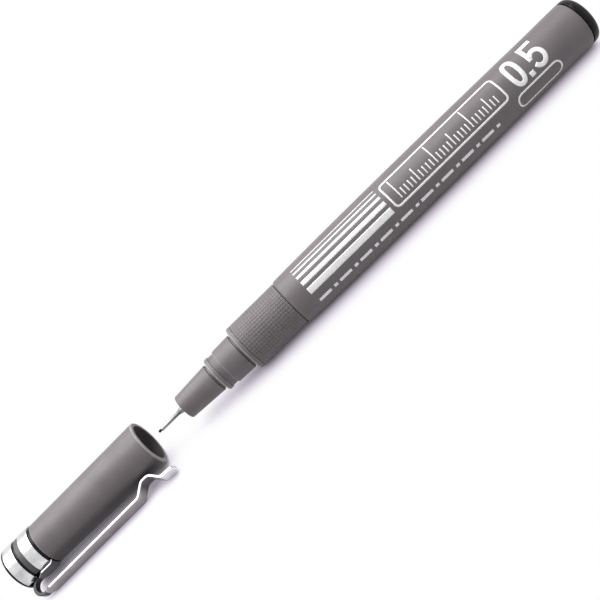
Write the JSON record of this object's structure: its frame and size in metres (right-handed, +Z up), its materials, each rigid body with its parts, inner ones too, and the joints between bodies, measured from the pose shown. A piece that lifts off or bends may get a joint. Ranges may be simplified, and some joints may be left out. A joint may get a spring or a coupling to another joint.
{
  "type": "fineliner pen",
  "caption": "Fineliner pen with knurled grip, steel-sleeved nib and pulled-off cap; the cap slides on over the neck up to the grip and its metal clip springs open.",
  "frame": {"origin": "on the table, under the middle of the pen with its cap pulled off in front of the nib", "axes": "+X along the pen from the cap to the tail, +Z up, the clip on the -Y side"},
  "size_m": [0.1618, 0.0144, 0.0117],
  "materials": {
    "grey_plastic": "satin moulded",
    "black_plastic": "glossy",
    "dark_plastic": "matt",
    "bright_chrome": "polished",
    "clip_chrome": "plated strip",
    "sleeve_steel": "drawn tube",
    "nib_black": "ink-stained",
    "ink_fibre": "soaked fibre",
    "clear_film": "thin film"
  },
  "bodies": {
    "pen": {"barrel": "grey_plastic", "tail_plug": "black_plastic", "grip_section": "grey_plastic", "nib_holder": "grey_plastic", "nib_sleeve": "sleeve_steel", "nib": "nib_black", "feed_wick": "ink_fibre", "ink_reservoir": "ink_fibre", "reservoir_film": "clear_film"},
    "cap": {"cap_shell": "grey_plastic", "inner_cap": "dark_plastic", "cap_end_plug": "black_plastic", "front_band": "bright_chrome", "core_collar": "grey_plastic", "rear_band": "bright_chrome"},
    "clip": {"pocket_clip": "clip_chrome"}
  },
  "joints": [
    {"name": "cap_pull", "type": "slide", "parent": "pen", "child": "cap", "axis": [-1, 0, 0], "range_m": [-0.02675, 0.02]},
    {"name": "clip_flex", "type": "hinge", "parent": "cap", "child": "clip", "pos_m": [-0.07573, -0.00295, 0.00335], "axis": [0, 0.4995, -0.8663], "range_deg": [0, 3], "stiffness_Nm_per_rad": 2}
  ]
}
